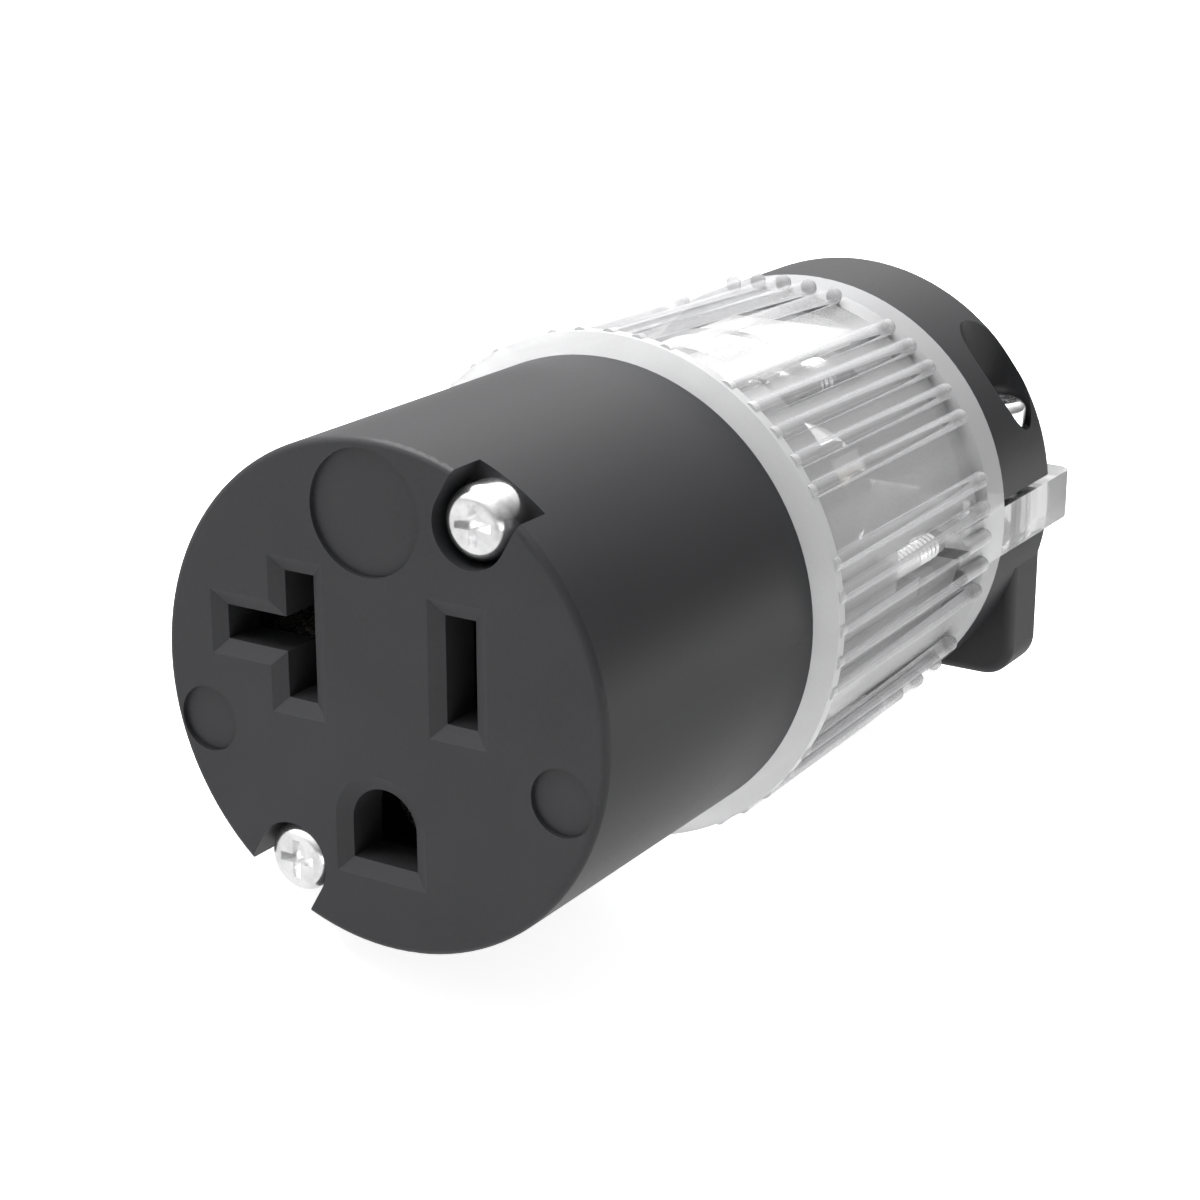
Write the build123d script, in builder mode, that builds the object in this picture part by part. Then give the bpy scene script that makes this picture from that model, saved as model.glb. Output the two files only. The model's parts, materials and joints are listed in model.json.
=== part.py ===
from build123d import *
import os
from math import sqrt

# Lighted in-line cord connector: a black socket front, a clear ribbed housing with the
# lamp and terminals inside, and a two-piece cord clamp at the cord end. Millimetres.
# The axis runs along +Y from the socket face to the cord. The sizes are set out with the
# blade slots above the earth hole, and each finished piece is then turned about the axis
# to the way the connector lies, on two ribs and a corner of the clamp, with +Z up.

# Socket front
face_radius = 17.43
face_round = 0.5
face_wall = 3.6
body_length = 26.92
spigot_inset = 1.18
spigot_length = 3.58
bore_clearance = 0.1

# Blade slots, on the pattern for a blade pair with a T-slot and a U-shaped earth pin
blade_pitch = 12.7
blade_line = 3.03
slot_width = 2.34
slot_height = 7.31
tslot_height = 8.77
tslot_rise = 0.1
tslot_bar_height = 2.39
tslot_bar_reach = 12.44
ground_drop = 11.86
ground_radius = 2.565
ground_foot = 2.68
funnel_margin = 1.06
funnel_depth = 0.51

# Blank recesses of the socket face
recess_depth = 0.35
top_recess_radius = 4.25
top_recess_spot = (-0.62, 12.52)
side_recess_radius = 2.3
side_recess_spot = (14.1, -3.93)

# Assembly screws through the socket front
screw_inset = 2.6
screw_angle = 60.0
notch_radius = 2.78
notch_depth = 3.1
shank_radius = 1.45
hole_clearance = 0.15
assembly_head_radius = 2.45
assembly_head_height = 2.7
assembly_head_round = 1.0
assembly_screw_length = 44.0
cross_span = 2.7
cross_width = 0.62
cross_depth = 0.9
cross_share = 0.6

# Clear housing
flange_overhang = 1.53
flange_rise = 0.85
flange_thickness = 1.0
flange_back = 0.35
wall_step = 0.67
wall_draft = 0.75
band_height = 0.51
band_length = 3.0
band_step = 1.1
housing_length = 31.63
rear_wall = 2.5
bore_mid_inset = 0.35
bore_rear_inset = 0.4
bore_step_one = 9.98
bore_step_two = 18.6

# Ribs, in even groups round the housing
rib_groups = 8
ribs_per_group = 5
rib_spacing = 7.2
rib_radius = 0.65
rib_front_height = 0.42
rib_rear_height = 0.66

# Ears, which run back from the housing between the clamp halves
ear_top = 1.3
ear_bottom = -2.8
ear_width = 7.96
ear_root_width = 5.26
ear_root_length = 15.05
ear_length = 13.95
ear_corner = 1.4

# Cord clamp
cord_height = -0.45
saddle_radius = 6.2
groove_depth = 0.5
groove_width = 1.1
groove_pitch = 2.6
groove_count = 3
wall_hole_margin = 0.8
clamp_length = 9.75
clamp_gap = 0.6
clamp_round = 1.2
clamp_screw_inset = 4.06
clamp_screw_setback = 6.35
pocket_radius = 3.0
pocket_floor = 5.8
clamp_head_radius = 2.55
clamp_head_height = 2.4
clamp_head_round = 0.8
foot_radius = 2.7
jaw_band_length = 4.35
jaw_side_inset = 0.72
jaw_bottom_inset = 3.21
jaw_corner = 2.6
jaw_round = 0.8
clamp_insert_radius = 2.1
clamp_insert_length = 6.5
clamp_screw_length = 15.2
tip_clearance = 0.5

# Bosses and inserts for the assembly screws
boss_radius = 2.15
boss_length = 13.0
boss_end_wall = 1.0
insert_radius = 1.85
insert_length = 6.3
fit_clearance = 0.05

# Contact carrier
barrier = 1.2
barrier_length = 8.4
barrier_top = 11.0
shelf_height = -5.6
shelf_half_width = 12.0
slot_clearance = 0.08
lug_width = 2.6
lug_bottom = -1.95
lug_top = 0.45
carrier_screw_radius = 0.95
carrier_head_radius = 1.5
carrier_head_height = 1.5
carrier_head_depth = 2.2
small_head_round = 0.3
carrier_screw_length = 20.2

# Contacts, terminals and their screws
strip = 0.8
leaf = 0.6
contact_mouth = 5.2
contact_height = 6.4
contact_base = 25.4
leaf_spread = 1.9
leaf_waist = 1.02
leaf_flare = 1.7
leaf_waist_station = 8.2
leaf_bend_station = 16.5
bar_leaf_gap = 1.75
tail_offset = 9.9
tail_top_rise = 5.6
tail_end = 17.98
terminal_setback = 14.38
terminal_height = 5.0
terminal_width = 7.4
terminal_chamfer = 1.6
wire_gap = 0.9
clamp_plate = 1.0
terminal_head_radius = 2.6
terminal_head_height = 1.3
terminal_shank_radius = 1.6
terminal_shank_length = 4.6
ground_sleeve_radius = 2.3
ground_sleeve_mouth = 6.0
ground_slit = 1.6
ground_slit_end = 19.0
ground_tail_drop = 2.55
ground_tail_width = 5.2
cavity_clearance = 0.45
ground_cavity_margin = 1.05

# Lamp board
board_width = 10.4
board_thickness = 1.2
board_clearance = 0.05
board_chamfer = 2.0
window_width = 2.6
window_length = 4.8
window_spot = (1.5, 6.0)
lamp_width = 4.4
lamp_length = 6.6
lamp_base = 1.0
lens_width = 2.0
lens_length = 4.0
lens_height = 1.8
lens_round = 0.4
resistor_radius = 1.15
resistor_round = 0.4
resistor_length = 6.3
resistor_spot = (-2.4, 11.0)
resistor_lead_radius = 0.3
resistor_lead_span = 9.0
lead_radius = 0.55
lead_spot = (3.6, 1.8)
lead_drop = 1.95
lead_bend = 1.0
lead_landing = (9.0, 5.8)

# Turn about the axis to the way the connector lies, half the angle between rib groups
rest_roll = -360 / rib_groups / 2

# Radii and widths, worked out from the socket face outwards and back
spigot_radius = face_radius - spigot_inset
screw_circle = face_radius - screw_inset
flange_radius = face_radius + flange_overhang
wall_front_radius = face_radius + wall_step
wall_rear_radius = wall_front_radius - wall_draft
band_radius = wall_rear_radius + band_height
bore_front_radius = spigot_radius + bore_clearance
bore_mid_radius = spigot_radius - bore_mid_inset
bore_rear_radius = bore_mid_radius - bore_rear_inset
ear_inner = band_radius - ear_width
ear_root_inner = band_radius - ear_root_width
clamp_screw_spread = band_radius - clamp_screw_inset
jaw_half_width = band_radius - jaw_side_inset
jaw_bottom = jaw_bottom_inset - band_radius
lug_outer = bore_rear_radius
lug_inner = lug_outer - lug_width
cutter = 3 * band_radius
carrier_screw_spread = (lug_inner + lug_outer) / 2
carrier_screw_line = (lug_bottom + lug_top) / 2
carrier_screw_spots = [(side * carrier_screw_spread, carrier_screw_line) for side in (1, -1)]

# Stations along the axis, worked out from the sizes above
spigot_end = body_length + spigot_length
flange_front = body_length + flange_rise
flange_rear = flange_front + flange_thickness
housing_end = body_length + housing_length
band_front = housing_end - band_length
inner_end = housing_end - rear_wall
step_one = body_length + bore_step_one
step_two = body_length + bore_step_two
ear_root = housing_end - ear_root_length
ear_end = housing_end + ear_length
clamp_end = housing_end + clamp_length
clamp_screw_station = housing_end + clamp_screw_setback
jaw_front = housing_end + jaw_band_length
clamp_face = ear_top + clamp_gap
hole_radius = shank_radius + hole_clearance
terminal_station = body_length + terminal_setback
tail_rear = body_length + tail_end
board_face = sqrt((bore_rear_radius - board_clearance) ** 2 - (board_width / 2) ** 2) - board_thickness
ground_line = blade_line - ground_drop


def station(distance):
    """A plane across the axis at that distance behind the socket face, with +Z up in it."""
    return Plane.XZ.offset(-distance)


def straight_slot(margin):
    """Outline of the straight blade's slot, grown by the margin."""
    with Locations((blade_pitch / 2, blade_line)):
        Rectangle(slot_width + 2 * margin, slot_height + 2 * margin)


def t_slot(margin):
    """Outline of the T-slot, which takes an upright or a flat blade."""
    with Locations((-blade_pitch / 2, blade_line + tslot_rise)):
        Rectangle(slot_width + 2 * margin, tslot_height + 2 * margin)
        bar = tslot_bar_reach - blade_pitch / 2
        with Locations((-bar / 2 - margin / 2, 0)):
            Rectangle(bar + margin, tslot_bar_height + 2 * margin)


def ground_hole(margin):
    """Outline of the earth pin's hole: a round top on straight sides, with a flat foot."""
    with Locations((0, ground_line)):
        Circle(ground_radius + margin)
        width = 2 * (ground_radius + margin)
        Rectangle(width, ground_foot + margin, align=(Align.CENTER, Align.MAX))


def screw_on(seat, head_radius, head_height, radius, length, round_top):
    """A screw whose head sits on the seat plane, with its shank behind that plane."""
    with BuildPart() as screw:
        with BuildSketch(seat):
            Circle(head_radius)
        extrude(amount=head_height)
        fillet(screw.faces().sort_by(Axis(seat.origin, seat.z_dir))[-1].edges(), round_top)
        with BuildSketch(seat):
            Circle(radius)
        extrude(amount=-length)
        with BuildSketch(seat.offset(head_height)):
            Rectangle(cross_span, cross_width)
            Rectangle(cross_width, cross_span)
        extrude(amount=-min(cross_depth, cross_share * head_height), mode=Mode.SUBTRACT)
    return screw.part


def save(part, name):
    """Turn a finished piece to the way the connector lies, label it and write its STEP file."""
    placed = part.rotate(Axis.Y, rest_roll)
    placed.label = name
    export_step(placed, f"parts/{name}.step")


os.makedirs("parts", exist_ok=True)

# Black socket front, a cup that opens to the rear, with a spigot for the housing
leaf_side = blade_pitch / 2 - leaf_spread - leaf / 2
hot_cavity = (leaf_side - cavity_clearance, tail_offset + strip / 2 + cavity_clearance)
neutral_cavity = (-tslot_bar_reach - cavity_clearance, -hot_cavity[0])
cavity_height = contact_height + 2 * cavity_clearance

with BuildPart() as front_body:
    with BuildSketch(Plane.XY):
        with BuildLine():
            Polyline(
                (0, 0),
                (face_radius, 0),
                (face_radius, body_length),
                (spigot_radius, body_length),
                (spigot_radius, spigot_end),
                (0, spigot_end),
                close=True,
            )
        make_face()
    revolve(axis=Axis.Y)
    fillet(front_body.edges().filter_by(GeomType.CIRCLE).group_by(Axis.Y)[0], face_round)
    for outline in (straight_slot, t_slot, ground_hole):
        with BuildSketch(station(0)):
            outline(funnel_margin)
        with BuildSketch(station(funnel_depth)):
            outline(0)
        loft(ruled=True, mode=Mode.SUBTRACT)
        with BuildSketch(station(face_wall)):
            outline(0)
        extrude(amount=face_wall - funnel_depth, mode=Mode.SUBTRACT)
    # Cavities for the contacts, open to the rear
    with BuildSketch(station(spigot_end)):
        with Locations(((hot_cavity[0] + hot_cavity[1]) / 2, blade_line)):
            Rectangle(hot_cavity[1] - hot_cavity[0], cavity_height)
        with Locations(((neutral_cavity[0] + neutral_cavity[1]) / 2, blade_line + tslot_rise)):
            Rectangle(neutral_cavity[1] - neutral_cavity[0], tslot_height)
        with Locations((0, ground_line)):
            ground_cavity = 2 * (ground_sleeve_radius + leaf + ground_cavity_margin)
            Rectangle(ground_cavity, ground_cavity)
    extrude(amount=spigot_end - face_wall, mode=Mode.SUBTRACT)
    # Screw holes, and the notches that open to the rim round the screw heads
    with BuildSketch(station(spigot_end)):
        with PolarLocations(screw_circle, 2, start_angle=screw_angle):
            Circle(hole_radius)
            Rectangle(spigot_radius, 2 * hole_radius, align=(Align.MIN, Align.CENTER))
    extrude(amount=spigot_length, mode=Mode.SUBTRACT)
    with BuildSketch(station(body_length)):
        with PolarLocations(screw_circle, 2, start_angle=screw_angle):
            Circle(hole_radius)
    extrude(amount=body_length, mode=Mode.SUBTRACT)
    with BuildSketch(station(notch_depth)):
        with PolarLocations(screw_circle, 2, start_angle=screw_angle):
            Circle(notch_radius)
            Rectangle(face_radius, 2 * notch_radius, align=(Align.MIN, Align.CENTER))
    extrude(amount=notch_depth, mode=Mode.SUBTRACT)
    # Blank round recesses
    with BuildSketch(station(recess_depth)):
        with Locations(top_recess_spot):
            Circle(top_recess_radius)
        with Locations(side_recess_spot, (-side_recess_spot[0], side_recess_spot[1])):
            Circle(side_recess_radius)
    extrude(amount=recess_depth, mode=Mode.SUBTRACT)
save(front_body.part, "front_body")

# One rib, a round bar with a domed rear end, which follows the housing's draft
rib_start = Vector(0, flange_front + flange_back, wall_front_radius + rib_front_height)
rib_stop = Vector(0, band_front - 2 * rib_radius, wall_rear_radius + rib_rear_height)
rib_run = (rib_stop - rib_start).length
with BuildPart() as rib:
    with BuildSketch(Plane(rib_start, x_dir=rib_stop - rib_start, z_dir=(1, 0, 0))):
        with BuildLine():
            Polyline((rib_run + rib_radius, 0), (0, 0), (0, rib_radius), (rib_run, rib_radius))
            RadiusArc((rib_run, rib_radius), (rib_run + rib_radius, 0), rib_radius)
        make_face()
    revolve(axis=Axis(rib_start, rib_stop - rib_start))

# One ear with the solid root that runs along the inside of the wall
with BuildPart() as ear:
    with BuildSketch(Plane.XY.offset(ear_bottom)):
        with BuildLine():
            Polyline(
                (ear_root_inner, ear_root),
                (band_radius, ear_root),
                (band_radius, ear_end),
                (ear_inner, ear_end),
                (ear_inner, inner_end),
                (ear_root_inner, inner_end),
                close=True,
            )
        make_face()
    extrude(amount=ear_top - ear_bottom)
    fillet(ear.edges().filter_by(Axis.Z).group_by(Axis.Y)[-1], ear_corner)
    with BuildSketch(station(ear_end)):
        Circle(band_radius)
    extrude(amount=ear_end - ear_root, mode=Mode.INTERSECT)

with BuildPart() as clear_housing:
    with BuildSketch(Plane.XY):
        with BuildLine():
            Polyline(
                (bore_front_radius, body_length),
                (face_radius, body_length),
                (flange_radius, flange_front),
                (flange_radius, flange_rear),
                (wall_front_radius, flange_rear + flange_back),
                (wall_rear_radius, band_front - band_step),
                (band_radius, band_front),
                (band_radius, housing_end),
                (0, housing_end),
                (0, inner_end),
                (bore_rear_radius, inner_end),
                (bore_rear_radius, step_two),
                (bore_mid_radius, step_two),
                (bore_mid_radius, step_one),
                (bore_front_radius, step_one),
                close=True,
            )
        make_face()
    revolve(axis=Axis.Y)
    group_turn = 360 / rib_groups
    first_rib = -rib_spacing * (ribs_per_group - 1) / 2
    add(
        [
            rib.part.rotate(Axis.Y, group * group_turn + first_rib + place * rib_spacing)
            for group in range(rib_groups)
            for place in range(ribs_per_group)
        ]
    )
    add([ear.part, ear.part.mirror(Plane.YZ)])
    # Bosses for the assembly screws' inserts
    with BuildSketch(station(step_one + boss_length)):
        with PolarLocations(screw_circle, 2, start_angle=screw_angle):
            Circle(boss_radius)
    extrude(amount=boss_length)
    with BuildSketch(station(step_one + insert_length)):
        with PolarLocations(screw_circle, 2, start_angle=screw_angle):
            Circle(insert_radius + fit_clearance)
    extrude(amount=insert_length, mode=Mode.SUBTRACT)
    with BuildSketch(station(step_one + boss_length - boss_end_wall)):
        with PolarLocations(screw_circle, 2, start_angle=screw_angle):
            Circle(shank_radius + fit_clearance)
    extrude(amount=boss_length - boss_end_wall, mode=Mode.SUBTRACT)
    # The cord's way in, the clamp screws' holes and the blind holes of the carrier screws
    with BuildSketch(station(housing_end)):
        with Locations((0, cord_height)):
            Circle(saddle_radius + wall_hole_margin)
    extrude(amount=rear_wall, mode=Mode.SUBTRACT)
    with BuildSketch(Plane.XY.offset(ear_bottom)):
        with Locations((clamp_screw_spread, clamp_screw_station), (-clamp_screw_spread, clamp_screw_station)):
            Circle(hole_radius)
    extrude(amount=ear_top - ear_bottom, mode=Mode.SUBTRACT)
    carrier_screw_tip = spigot_end + carrier_head_depth + carrier_screw_length
    with BuildSketch(station(carrier_screw_tip + tip_clearance)):
        with Locations(*carrier_screw_spots):
            Circle(carrier_screw_radius + fit_clearance)
    extrude(amount=carrier_screw_tip + tip_clearance - ear_root, mode=Mode.SUBTRACT)
save(clear_housing.part, "clear_housing")

# Upper half of the cord clamp, with a deep pocket over each screw
with BuildPart() as upper_cord_clamp:
    with BuildSketch(station(clamp_end)):
        Circle(band_radius)
        with Locations((0, clamp_face)):
            Rectangle(cutter, cutter, align=(Align.CENTER, Align.MAX), mode=Mode.SUBTRACT)
    extrude(amount=clamp_length)
    rear_edges = upper_cord_clamp.edges().filter_by(GeomType.CIRCLE).group_by(Axis.Y)[-1]
    fillet(rear_edges, clamp_round)
    with BuildSketch(station(clamp_end)):
        with Locations((0, cord_height)):
            Circle(saddle_radius)
    extrude(amount=clamp_length, mode=Mode.SUBTRACT)
    for place in range(groove_count):
        middle = housing_end + clamp_length / 2 + (place - (groove_count - 1) / 2) * groove_pitch
        with BuildSketch(station(middle + groove_width / 2)):
            with Locations((0, cord_height)):
                Circle(saddle_radius + groove_depth)
        extrude(amount=groove_width, mode=Mode.SUBTRACT)
    with BuildSketch(Plane.XY.offset(clamp_face)):
        with Locations((clamp_screw_spread, clamp_screw_station), (-clamp_screw_spread, clamp_screw_station)):
            Circle(foot_radius)
    extrude(amount=-clamp_gap)
    with BuildSketch(Plane.XY.offset(ear_top)):
        with Locations((clamp_screw_spread, clamp_screw_station), (-clamp_screw_spread, clamp_screw_station)):
            Circle(hole_radius)
    extrude(amount=pocket_floor - ear_top, mode=Mode.SUBTRACT)
    with BuildSketch(Plane.XY.offset(pocket_floor)):
        with Locations((clamp_screw_spread, clamp_screw_station), (-clamp_screw_spread, clamp_screw_station)):
            Circle(pocket_radius)
    extrude(amount=band_radius, mode=Mode.SUBTRACT)
save(upper_cord_clamp.part, "upper_cord_clamp")

# Lower half: a round band against the housing, and a square-cornered jaw behind it
with BuildPart() as lower_cord_clamp:
    with BuildSketch(station(clamp_end)):
        height = ear_bottom - jaw_bottom
        with Locations((0, ear_bottom)):
            block = Rectangle(2 * jaw_half_width, height, align=(Align.CENTER, Align.MAX))
        fillet(block.vertices().group_by(Axis.Y)[0], jaw_corner)
    extrude(amount=clamp_end - jaw_front)
    fillet(lower_cord_clamp.faces().sort_by(Axis.Y)[0].edges().sort_by(Axis.Z)[:-1], jaw_round)
    fillet(lower_cord_clamp.faces().sort_by(Axis.Y)[-1].edges().sort_by(Axis.Z)[:-1], jaw_round)
    shoulder = sqrt(band_radius**2 - jaw_half_width**2)
    with BuildSketch(station(clamp_end - jaw_round)):
        Circle(band_radius)
        with Locations((0, ear_bottom)):
            Rectangle(cutter, cutter, align=(Align.CENTER, Align.MIN), mode=Mode.SUBTRACT)
        with Locations((0, -shoulder)):
            Rectangle(cutter, cutter, align=(Align.CENTER, Align.MAX), mode=Mode.SUBTRACT)
    extrude(amount=clamp_length - jaw_round)
    with BuildSketch(station(jaw_front)):
        Circle(band_radius)
        with Locations((0, ear_bottom)):
            Rectangle(cutter, cutter, align=(Align.CENTER, Align.MIN), mode=Mode.SUBTRACT)
    extrude(amount=jaw_band_length)
    with BuildSketch(station(clamp_end)):
        with Locations((0, cord_height)):
            Circle(saddle_radius)
    extrude(amount=clamp_length, mode=Mode.SUBTRACT)
    for place in range(groove_count):
        middle = housing_end + clamp_length / 2 + (place - (groove_count - 1) / 2) * groove_pitch
        with BuildSketch(station(middle + groove_width / 2)):
            with Locations((0, cord_height)):
                Circle(saddle_radius + groove_depth)
        extrude(amount=groove_width, mode=Mode.SUBTRACT)
    clamp_screw_tip = pocket_floor - clamp_screw_length
    with BuildSketch(Plane.XY.offset(ear_bottom)):
        with Locations((clamp_screw_spread, clamp_screw_station), (-clamp_screw_spread, clamp_screw_station)):
            Circle(clamp_insert_radius + fit_clearance)
    extrude(amount=-clamp_insert_length, mode=Mode.SUBTRACT)
    with BuildSketch(Plane.XY.offset(ear_bottom)):
        with Locations((clamp_screw_spread, clamp_screw_station), (-clamp_screw_spread, clamp_screw_station)):
            Circle(shank_radius + fit_clearance)
    extrude(amount=clamp_screw_tip - ear_bottom - tip_clearance, mode=Mode.SUBTRACT)
save(lower_cord_clamp.part, "lower_cord_clamp")

# Clamp screws, and the threaded inserts that they turn into
for side, name in ((1, "right"), (-1, "left")):
    spot = (side * clamp_screw_spread, clamp_screw_station)
    seat = Plane((spot[0], spot[1], pocket_floor), x_dir=(1, 0, 0), z_dir=(0, 0, 1))
    screw = screw_on(
        seat, clamp_head_radius, clamp_head_height, shank_radius, clamp_screw_length, clamp_head_round
    )
    save(screw, f"clamp_screw_{name}")
    with BuildPart() as insert:
        with BuildSketch(Plane.XY.offset(ear_bottom)):
            with Locations(spot):
                Circle(clamp_insert_radius)
                Circle(shank_radius + fit_clearance, mode=Mode.SUBTRACT)
        extrude(amount=-clamp_insert_length)
    save(insert.part, f"clamp_insert_{name}")

# Assembly screws and the threaded inserts that they turn into
for turn, name in ((0, "upper"), (180, "lower")):
    with BuildPart() as insert:
        with BuildSketch(station(step_one + insert_length)):
            with PolarLocations(screw_circle, 1, start_angle=screw_angle + turn):
                Circle(insert_radius)
                Circle(shank_radius + fit_clearance, mode=Mode.SUBTRACT)
        extrude(amount=insert_length)
    save(insert.part, f"screw_insert_{name}")
    centre = insert.part.center()
    seat = Plane((centre.X, notch_depth, centre.Z), x_dir=(1, 0, 0), z_dir=(0, -1, 0))
    screw = screw_on(
        seat,
        assembly_head_radius,
        assembly_head_height,
        shank_radius,
        assembly_screw_length,
        assembly_head_round,
    )
    save(screw, f"assembly_screw_{name}")

# Contact carrier, a disc on the bore's step with a lug on each side and walls between the terminals
ground_tail_line = ground_line - ground_tail_drop
with BuildPart() as contact_carrier:
    with BuildSketch(station(step_one)):
        Circle(spigot_radius)
        with PolarLocations(screw_circle, 2, start_angle=screw_angle):
            Circle(hole_radius, mode=Mode.SUBTRACT)
            Rectangle(
                2 * hole_radius,
                2 * hole_radius,
                align=(Align.MIN, Align.CENTER),
                mode=Mode.SUBTRACT,
            )
    extrude(amount=step_one - spigot_end)
    with BuildSketch(station(ear_root)):
        with Locations(*carrier_screw_spots):
            Rectangle(lug_outer - lug_inner, lug_top - lug_bottom)
    extrude(amount=ear_root - step_one)
    with BuildSketch(station(step_one + barrier_length)):
        with Locations((0, shelf_height)):
            Rectangle(2 * shelf_half_width, barrier)
            Rectangle(barrier, barrier_top - shelf_height, align=(Align.CENTER, Align.MIN))
    extrude(amount=barrier_length)
    with BuildSketch(station(ear_root)):
        with Locations(*carrier_screw_spots):
            Circle(carrier_screw_radius + fit_clearance)
    extrude(amount=ear_root - spigot_end, mode=Mode.SUBTRACT)
    with BuildSketch(station(spigot_end + carrier_head_depth)):
        with Locations(*carrier_screw_spots):
            Circle(carrier_head_radius + hole_clearance)
    extrude(amount=carrier_head_depth, mode=Mode.SUBTRACT)
    with BuildSketch(station(step_one)):
        with Locations((tail_offset, blade_line), (-tail_offset, blade_line)):
            Rectangle(strip + 2 * slot_clearance, contact_height + 2 * slot_clearance)
        with Locations((0, ground_tail_line)):
            Rectangle(ground_tail_width + 2 * slot_clearance, strip + 2 * slot_clearance)
    extrude(amount=step_one - spigot_end, mode=Mode.SUBTRACT)
save(contact_carrier.part, "contact_carrier")

for side, name in ((1, "right"), (-1, "left")):
    seat = Plane(
        (side * carrier_screw_spread, spigot_end + carrier_head_depth, carrier_screw_line),
        x_dir=(1, 0, 0),
        z_dir=(0, -1, 0),
    )
    screw = screw_on(
        seat,
        carrier_head_radius,
        carrier_head_height,
        carrier_screw_radius,
        carrier_screw_length,
        small_head_round,
    )
    save(screw, f"carrier_screw_{name}")


def leaf_corners(side, middle):
    """Corners of one spring leaf as (offset, distance): it closes to a waist and flares at the mouth."""
    run = [
        (leaf_spread, contact_base),
        (leaf_spread, leaf_bend_station),
        (leaf_waist, leaf_waist_station),
        (leaf_flare, contact_mouth),
    ]
    outer = [(middle + side * (offset + leaf / 2), distance) for offset, distance in run]
    inner = [(middle + side * (offset - leaf / 2), distance) for offset, distance in reversed(run)]
    return outer + inner


def terminal_tail(side):
    """The strip from a blade contact's base, through the carrier, to its terminal screw."""
    foot = blade_line - contact_height / 2
    with BuildPart() as tail:
        with BuildSketch(Plane.YZ.offset(side * tail_offset - strip / 2)):
            with Locations((contact_base, foot)):
                Rectangle(tail_rear - contact_base, contact_height, align=(Align.MIN, Align.MIN))
            with Locations((step_one, foot)):
                rise = contact_height / 2 + tail_top_rise
                Rectangle(tail_rear - step_one, rise, align=(Align.MIN, Align.MIN))
            with Locations((terminal_station, terminal_height)):
                Circle(terminal_shank_radius + fit_clearance, mode=Mode.SUBTRACT)
        extrude(amount=strip)
    return tail.part


# Straight blade's contact: two spring leaves on a base, and the tail
with BuildPart() as hot_contact:
    for side in (1, -1):
        with BuildSketch(Plane.XY.offset(blade_line - contact_height / 2)):
            with BuildLine():
                Polyline(*leaf_corners(side, blade_pitch / 2), close=True)
            make_face()
        extrude(amount=contact_height)
    base_start = blade_pitch / 2 - leaf_spread - leaf / 2
    with BuildSketch(Plane.XY.offset(blade_line - contact_height / 2)):
        with Locations((base_start, contact_base)):
            Rectangle(tail_offset + strip / 2 - base_start, strip, align=(Align.MIN, Align.MIN))
    extrude(amount=contact_height)
    add(terminal_tail(1))
save(hot_contact.part, "hot_contact")

# T-slot's contact: upright leaves, the outer one split for the flat blade's own pair
with BuildPart() as neutral_contact:
    for side in (1, -1):
        with BuildSketch(Plane.XY.offset(blade_line - contact_height / 2)):
            with BuildLine():
                Polyline(*leaf_corners(side, -blade_pitch / 2), close=True)
            make_face()
        extrude(amount=contact_height)
    outer_leaf = -blade_pitch / 2 - leaf_waist
    bar_line = blade_line + tslot_rise
    with BuildSketch(Plane.YZ.offset(outer_leaf)):
        with Locations((contact_mouth, bar_line)):
            Rectangle(
                leaf_bend_station - contact_mouth,
                2 * bar_leaf_gap,
                align=(Align.MIN, Align.CENTER),
            )
    extrude(amount=-leaf_spread, mode=Mode.SUBTRACT)
    bar_leaf_root = -blade_pitch / 2 - leaf_spread - leaf / 2
    for side in (1, -1):
        with BuildSketch(Plane.YZ.offset(-tslot_bar_reach)):
            corners = [(distance, height) for height, distance in leaf_corners(side, bar_line)]
            with BuildLine():
                Polyline(*corners, close=True)
            make_face()
        extrude(amount=bar_leaf_root + tslot_bar_reach)
    with BuildSketch(Plane.XY.offset(blade_line - contact_height / 2)):
        with Locations((-tslot_bar_reach, contact_base)):
            base_reach = tslot_bar_reach - blade_pitch / 2 + leaf_spread + leaf / 2
            Rectangle(base_reach, strip, align=(Align.MIN, Align.MIN))
    extrude(amount=contact_height)
    add(terminal_tail(-1))
save(neutral_contact.part, "neutral_contact")

# Earth pin's contact: a split sleeve on a disc, and its tail
with BuildPart() as ground_contact:
    with BuildSketch(station(contact_base)):
        with Locations((0, ground_line)):
            Circle(ground_sleeve_radius + leaf)
            Circle(ground_sleeve_radius, mode=Mode.SUBTRACT)
    extrude(amount=contact_base - ground_sleeve_mouth)
    with BuildSketch(station(ground_slit_end)):
        with Locations((0, ground_line)):
            Rectangle(4 * ground_sleeve_radius, ground_slit)
    extrude(amount=ground_slit_end - ground_sleeve_mouth, mode=Mode.SUBTRACT)
    with BuildSketch(station(contact_base + strip)):
        with Locations((0, ground_line)):
            Circle(ground_sleeve_radius + leaf)
            with Locations((0, -ground_tail_drop - strip / 2)):
                Rectangle(ground_tail_width, ground_tail_drop + strip / 2, align=(Align.CENTER, Align.MIN))
    extrude(amount=strip)
    with BuildSketch(station(tail_rear)):
        with Locations((0, ground_tail_line)):
            Rectangle(ground_tail_width, strip)
    extrude(amount=tail_rear - contact_base)
    with BuildSketch(Plane.XY.offset(ground_tail_line - strip / 2)):
        with Locations((0, terminal_station)):
            Circle(terminal_shank_radius + fit_clearance)
    extrude(amount=strip, mode=Mode.SUBTRACT)
save(ground_contact.part, "ground_contact")

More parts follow.
